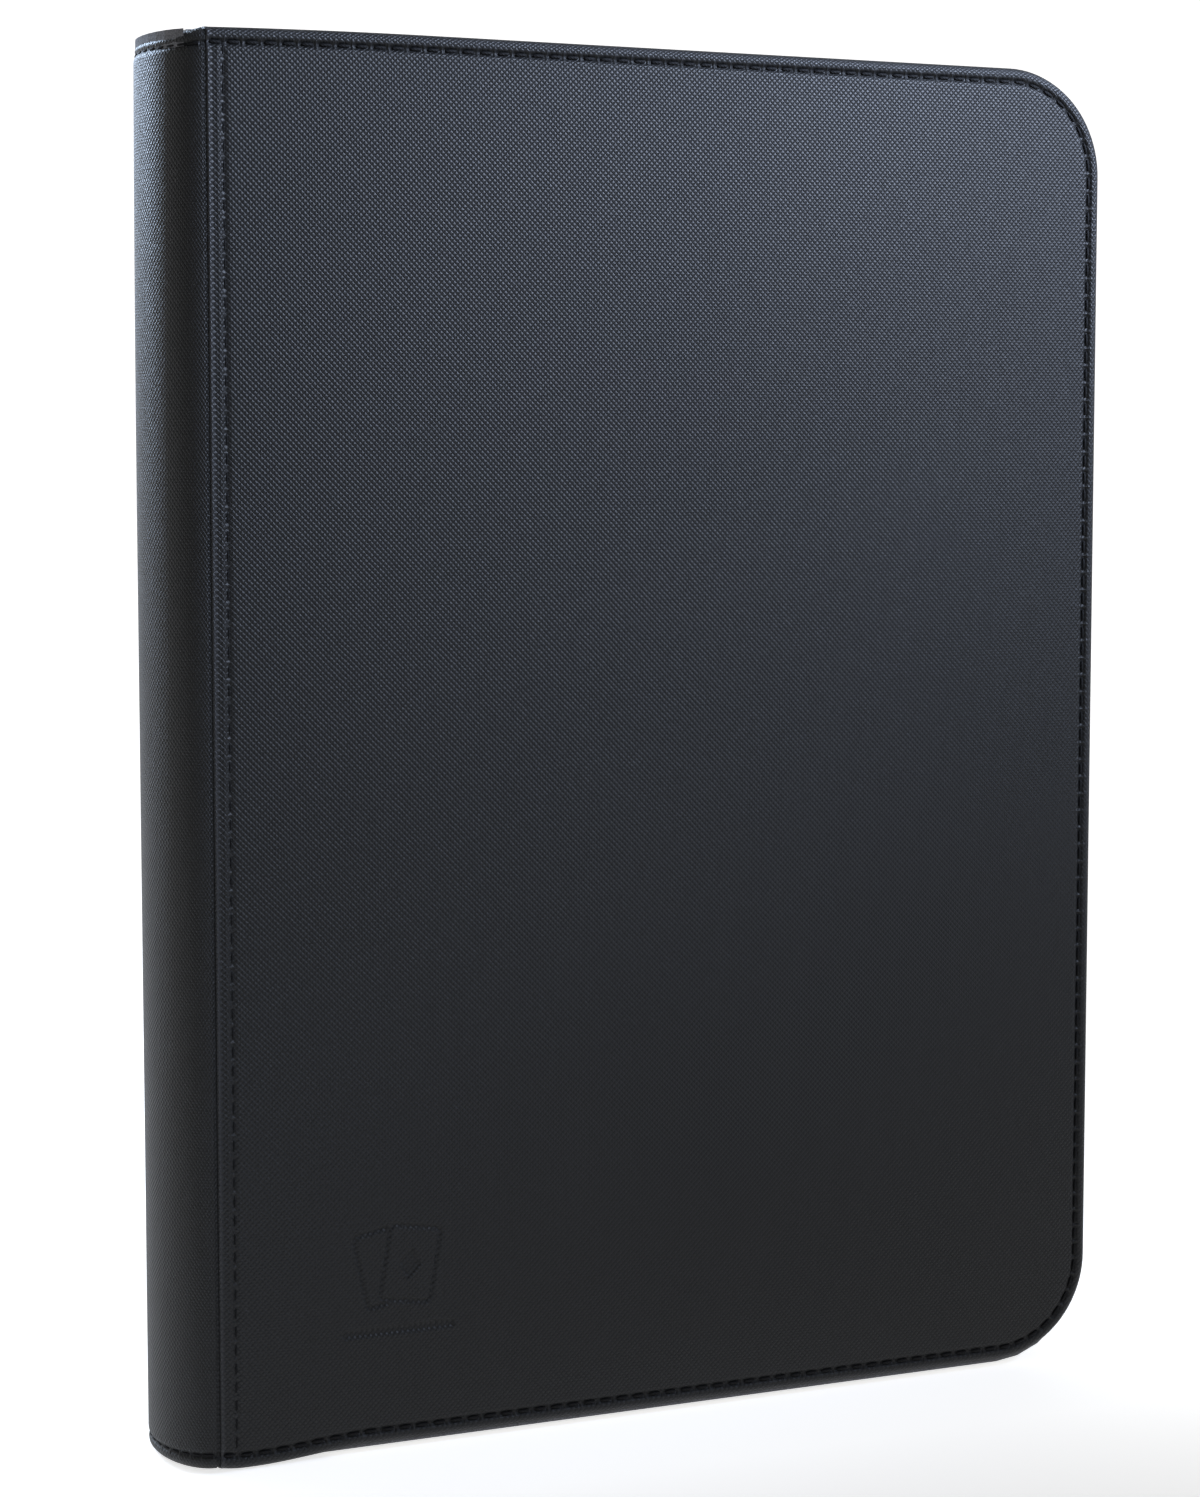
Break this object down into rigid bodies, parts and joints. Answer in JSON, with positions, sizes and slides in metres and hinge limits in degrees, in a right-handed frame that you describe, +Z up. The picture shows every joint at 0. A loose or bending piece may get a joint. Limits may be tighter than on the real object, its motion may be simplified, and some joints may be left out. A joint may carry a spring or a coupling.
{
  "type": "trading card binder",
  "caption": "Zip-round card binder: two padded leatherette covers hinged on a rounded spine, side-loading pocket pages on a binding strip, and a zip slider with a pull tab.",
  "frame": {"origin": "middle of the bottom of the whole binder, on the surface it stands on", "axes": "+X from the spine to the fore edge, +Y from the front cover to the rear cover, +Z up"},
  "size_m": [0.253, 0.04, 0.34],
  "materials": {
    "leatherette": "embossed cross-hatch grain, satin",
    "foam": "open-cell foam sheet",
    "greyboard": "plain greyboard",
    "lining_cloth": "fine woven lining",
    "zip_tape": "herringbone woven tape",
    "zip_nylon": "moulded nylon",
    "black_nickel": "black nickel plate",
    "binding_plastic": "extruded polypropylene",
    "pocket_film": "embossed clear polypropylene film over a black core"
  },
  "bodies": {
    "spine": {"spine_skin": "leatherette", "spine_padding": "foam", "spine_board": "greyboard", "spine_lining": "lining_cloth", "front_hinge_strip": "leatherette", "rear_hinge_strip": "leatherette", "binding_channel": "binding_plastic", "page_root_block": "pocket_film"},
    "front_cover": {"front_cover_skin": "leatherette", "front_cover_padding": "foam", "front_cover_board": "greyboard", "front_cover_lining": "lining_cloth", "front_zip_tape": "zip_tape", "front_zip_coil": "zip_nylon", "front_zip_stop": "black_nickel"},
    "rear_cover": {"rear_cover_skin": "leatherette", "rear_cover_padding": "foam", "rear_cover_board": "greyboard", "rear_cover_lining": "lining_cloth", "rear_zip_tape": "zip_tape", "rear_zip_coil": "zip_nylon", "rear_zip_stop": "black_nickel", "bottom_zip_stop": "black_nickel"},
    "zip_slider": {"zip_slider_body": "black_nickel", "zip_slider_bail": "black_nickel"},
    "pull_tab": {"pull_tab": "black_nickel"},
    "page_01": {"page_01": "pocket_film"},
    "page_02": {"page_02": "pocket_film"},
    "page_03": {"page_03": "pocket_film"},
    "page_04": {"page_04": "pocket_film"},
    "page_05": {"page_05": "pocket_film"},
    "page_06": {"page_06": "pocket_film"},
    "page_07": {"page_07": "pocket_film"},
    "page_08": {"page_08": "pocket_film"},
    "page_09": {"page_09": "pocket_film"},
    "page_10": {"page_10": "pocket_film"},
    "page_11": {"page_11": "pocket_film"},
    "page_12": {"page_12": "pocket_film"},
    "page_13": {"page_13": "pocket_film"},
    "page_14": {"page_14": "pocket_film"},
    "page_15": {"page_15": "pocket_film"},
    "page_16": {"page_16": "pocket_film"},
    "page_17": {"page_17": "pocket_film"},
    "page_18": {"page_18": "pocket_film"},
    "page_19": {"page_19": "pocket_film"},
    "page_20": {"page_20": "pocket_film"}
  },
  "joints": [
    {"name": "front_cover_hinge", "type": "hinge", "parent": "spine", "child": "front_cover", "pos_m": [-0.1165, -0.02, 0.17], "axis": [0, 0, -1], "range_deg": [0, 90]},
    {"name": "rear_cover_hinge", "type": "hinge", "parent": "spine", "child": "rear_cover", "pos_m": [-0.1165, 0.02, 0.17], "axis": [0, 0, 1], "range_deg": [0, 90]},
    {"name": "zip_slide", "type": "slide", "parent": "rear_cover", "child": "zip_slider", "axis": [1, 0, 0], "range_m": [0, 0.189]},
    {"name": "pull_tab_flip", "type": "hinge", "parent": "zip_slider", "child": "pull_tab", "pos_m": [-0.098, 0, 0.3367], "axis": [0, -1, 0], "range_deg": [0, 150]},
    {"name": "page_01_turn", "type": "hinge", "parent": "spine", "child": "page_01", "pos_m": [-0.1095, -0.01235, 0.17], "axis": [0, 0, -1], "range_deg": [0, 90]},
    {"name": "page_02_turn", "type": "hinge", "parent": "spine", "child": "page_02", "pos_m": [-0.10905, -0.01105, 0.17], "axis": [0, 0, -1], "range_deg": [0, 90]},
    {"name": "page_03_turn", "type": "hinge", "parent": "spine", "child": "page_03", "pos_m": [-0.1086, -0.00975, 0.17], "axis": [0, 0, -1], "range_deg": [0, 90]},
    {"name": "page_04_turn", "type": "hinge", "parent": "spine", "child": "page_04", "pos_m": [-0.10815, -0.00845, 0.17], "axis": [0, 0, -1], "range_deg": [0, 90]},
    {"name": "page_05_turn", "type": "hinge", "parent": "spine", "child": "page_05", "pos_m": [-0.1077, -0.00715, 0.17], "axis": [0, 0, -1], "range_deg": [0, 90]},
    {"name": "page_06_turn", "type": "hinge", "parent": "spine", "child": "page_06", "pos_m": [-0.10725, -0.00585, 0.17], "axis": [0, 0, -1], "range_deg": [0, 90]},
    {"name": "page_07_turn", "type": "hinge", "parent": "spine", "child": "page_07", "pos_m": [-0.1068, -0.00455, 0.17], "axis": [0, 0, -1], "range_deg": [0, 90]},
    {"name": "page_08_turn", "type": "hinge", "parent": "spine", "child": "page_08", "pos_m": [-0.10635, -0.00325, 0.17], "axis": [0, 0, -1], "range_deg": [0, 90]},
    {"name": "page_09_turn", "type": "hinge", "parent": "spine", "child": "page_09", "pos_m": [-0.1059, -0.00195, 0.17], "axis": [0, 0, -1], "range_deg": [0, 90]},
    {"name": "page_10_turn", "type": "hinge", "parent": "spine", "child": "page_10", "pos_m": [-0.10545, -0.00065, 0.17], "axis": [0, 0, -1], "range_deg": [0, 90]},
    {"name": "page_11_turn", "type": "hinge", "parent": "spine", "child": "page_11", "pos_m": [-0.10545, 0.00065, 0.17], "axis": [0, 0, 1], "range_deg": [0, 90]},
    {"name": "page_12_turn", "type": "hinge", "parent": "spine", "child": "page_12", "pos_m": [-0.1059, 0.00195, 0.17], "axis": [0, 0, 1], "range_deg": [0, 90]},
    {"name": "page_13_turn", "type": "hinge", "parent": "spine", "child": "page_13", "pos_m": [-0.10635, 0.00325, 0.17], "axis": [0, 0, 1], "range_deg": [0, 90]},
    {"name": "page_14_turn", "type": "hinge", "parent": "spine", "child": "page_14", "pos_m": [-0.1068, 0.00455, 0.17], "axis": [0, 0, 1], "range_deg": [0, 90]},
    {"name": "page_15_turn", "type": "hinge", "parent": "spine", "child": "page_15", "pos_m": [-0.10725, 0.00585, 0.17], "axis": [0, 0, 1], "range_deg": [0, 90]},
    {"name": "page_16_turn", "type": "hinge", "parent": "spine", "child": "page_16", "pos_m": [-0.1077, 0.00715, 0.17], "axis": [0, 0, 1], "range_deg": [0, 90]},
    {"name": "page_17_turn", "type": "hinge", "parent": "spine", "child": "page_17", "pos_m": [-0.10815, 0.00845, 0.17], "axis": [0, 0, 1], "range_deg": [0, 90]},
    {"name": "page_18_turn", "type": "hinge", "parent": "spine", "child": "page_18", "pos_m": [-0.1086, 0.00975, 0.17], "axis": [0, 0, 1], "range_deg": [0, 90]},
    {"name": "page_19_turn", "type": "hinge", "parent": "spine", "child": "page_19", "pos_m": [-0.10905, 0.01105, 0.17], "axis": [0, 0, 1], "range_deg": [0, 90]},
    {"name": "page_20_turn", "type": "hinge", "parent": "spine", "child": "page_20", "pos_m": [-0.1095, 0.01235, 0.17], "axis": [0, 0, 1], "range_deg": [0, 90]}
  ],
  "couplings": [
    {"joint": "page_01_turn", "follows": "front_cover_hinge", "ratio": 0.97},
    {"joint": "page_02_turn", "follows": "front_cover_hinge", "ratio": 0.94},
    {"joint": "page_03_turn", "follows": "front_cover_hinge", "ratio": 0.91},
    {"joint": "page_04_turn", "follows": "front_cover_hinge", "ratio": 0.88},
    {"joint": "page_05_turn", "follows": "front_cover_hinge", "ratio": 0.85},
    {"joint": "page_06_turn", "follows": "front_cover_hinge", "ratio": 0.82},
    {"joint": "page_07_turn", "follows": "front_cover_hinge", "ratio": 0.79},
    {"joint": "page_08_turn", "follows": "front_cover_hinge", "ratio": 0.76},
    {"joint": "page_09_turn", "follows": "front_cover_hinge", "ratio": 0.73},
    {"joint": "page_10_turn", "follows": "front_cover_hinge", "ratio": 0.7},
    {"joint": "page_11_turn", "follows": "rear_cover_hinge", "ratio": 0.7},
    {"joint": "page_12_turn", "follows": "rear_cover_hinge", "ratio": 0.73},
    {"joint": "page_13_turn", "follows": "rear_cover_hinge", "ratio": 0.76},
    {"joint": "page_14_turn", "follows": "rear_cover_hinge", "ratio": 0.79},
    {"joint": "page_15_turn", "follows": "rear_cover_hinge", "ratio": 0.82},
    {"joint": "page_16_turn", "follows": "rear_cover_hinge", "ratio": 0.85},
    {"joint": "page_17_turn", "follows": "rear_cover_hinge", "ratio": 0.88},
    {"joint": "page_18_turn", "follows": "rear_cover_hinge", "ratio": 0.91},
    {"joint": "page_19_turn", "follows": "rear_cover_hinge", "ratio": 0.94},
    {"joint": "page_20_turn", "follows": "rear_cover_hinge", "ratio": 0.97}
  ]
}
